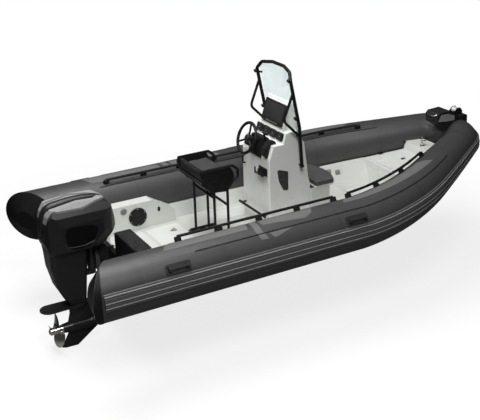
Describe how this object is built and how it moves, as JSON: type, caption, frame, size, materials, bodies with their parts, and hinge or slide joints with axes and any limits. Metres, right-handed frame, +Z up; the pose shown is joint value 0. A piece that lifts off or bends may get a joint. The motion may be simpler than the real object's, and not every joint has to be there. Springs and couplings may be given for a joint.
{
  "type": "rigid inflatable boat with outboard motor",
  "caption": "Open rigid inflatable boat with a centre console, windscreen, leaning post, bow locker and a tilting, steering outboard motor.",
  "frame": {"origin": "on the waterline and the centreline, at the aft face of the transom", "axes": "+X forward, +Y to port, +Z up"},
  "size_m": [5.3962, 2.5738, 2.572],
  "materials": {
    "tube_fabric": "satin coated fabric",
    "tube_trim": "satin black rubber",
    "hull_moulding": "dark gel coat",
    "deck_moulding": "light grey gel coat",
    "dark_plastic": "moulded black",
    "grey_plastic": "moulded grey",
    "white_plastic": "moulded white",
    "black_tube": "powder-coated black",
    "glazing": "clear, faint green",
    "seat_vinyl": "dark grey vinyl",
    "post_vinyl": "mid grey vinyl",
    "motor_paint": "satin black",
    "motor_grey": "satin light grey",
    "engine_block": "plain block",
    "stainless": "polished stainless steel"
  },
  "bodies": {
    "hull": {"aft_grab_rails": "tube_trim", "bow_deck": "deck_moulding", "bow_plate": "dark_plastic", "bow_tube_port": "tube_fabric", "bow_tube_starboard": "tube_fabric", "carry_handles": "tube_trim", "clamp_bracket": "motor_paint", "console": "deck_moulding", "console_bars": "black_tube", "display": "dark_plastic", "forward_grab_rails": "tube_trim", "gauges": "dark_plastic", "helm": "dark_plastic", "hull": "hull_moulding", "liner_port": "deck_moulding", "liner_starboard": "deck_moulding", "pocket_door": "dark_plastic", "post_bolster": "post_vinyl", "post_cushion": "post_vinyl", "post_frame": "black_tube", "post_sides": "dark_plastic", "post_tray": "dark_plastic", "quarter_blocks": "deck_moulding", "quarter_pads": "dark_plastic", "samson_post": "stainless", "seat_base": "deck_moulding", "side_hatches": "dark_plastic", "side_ports": "grey_plastic", "sole": "deck_moulding", "strakes": "tube_trim", "throttle_box": "dark_plastic", "throttle_lever": "black_tube", "towing_eyes": "stainless", "transom": "deck_moulding", "trim_unit": "motor_paint", "tube_cones": "tube_trim", "tube_port": "tube_fabric", "tube_starboard": "tube_fabric", "windscreen": "glazing", "windscreen_frame": "black_tube"},
    "swivel": {"swivel_bracket": "motor_paint"},
    "motor": {"motor_leg": "motor_paint", "cowl": "motor_paint", "cowl_panel": "motor_grey", "cowl_ridge": "motor_paint", "powerhead": "engine_block", "gearcase": "motor_paint", "prop_nut": "dark_plastic"},
    "propeller": {"propeller": "stainless"},
    "steering_wheel": {"steering_wheel": "black_tube"},
    "locker_lid": {"locker_lid": "deck_moulding"},
    "front_seat": {"seat_lid": "deck_moulding", "seat_cushion": "seat_vinyl"},
    "bow_roller": {"bow_roller": "white_plastic"}
  },
  "joints": [
    {"name": "motor_tilt", "type": "hinge", "parent": "hull", "child": "swivel", "pos_m": [-0.06, 0, 0.29], "axis": [0, 1, 0], "range_deg": [0, 60]},
    {"name": "motor_steer", "type": "hinge", "parent": "swivel", "child": "motor", "pos_m": [-0.15, 0, 0.15], "axis": [0, 0, 1], "range_deg": [-30, 30]},
    {"name": "propeller_spin", "type": "hinge", "parent": "motor", "child": "propeller", "pos_m": [-0.5853, 0, -0.56], "axis": [1, 0, 0], "continuous": true},
    {"name": "wheel_turn", "type": "hinge", "parent": "hull", "child": "steering_wheel", "pos_m": [1.654, 0, 1.043], "axis": [-0.9245, 0, 0.3811], "range_deg": [-757, 757]},
    {"name": "locker_lid_hinge", "type": "hinge", "parent": "hull", "child": "locker_lid", "pos_m": [3.9, 0, 0.4003], "axis": [0, 1, 0], "range_deg": [0, 85]},
    {"name": "seat_hinge", "type": "hinge", "parent": "hull", "child": "front_seat", "pos_m": [2.322, 0, 0.4403], "axis": [0, -1, 0], "range_deg": [0, 70]},
    {"name": "bow_roller_spin", "type": "hinge", "parent": "hull", "child": "bow_roller", "pos_m": [4.5049, 0, 0.846], "axis": [0, 1, 0], "continuous": true}
  ],
  "couplings": [
    {"joint": "wheel_turn", "follows": "motor_steer", "ratio": -25.2}
  ]
}
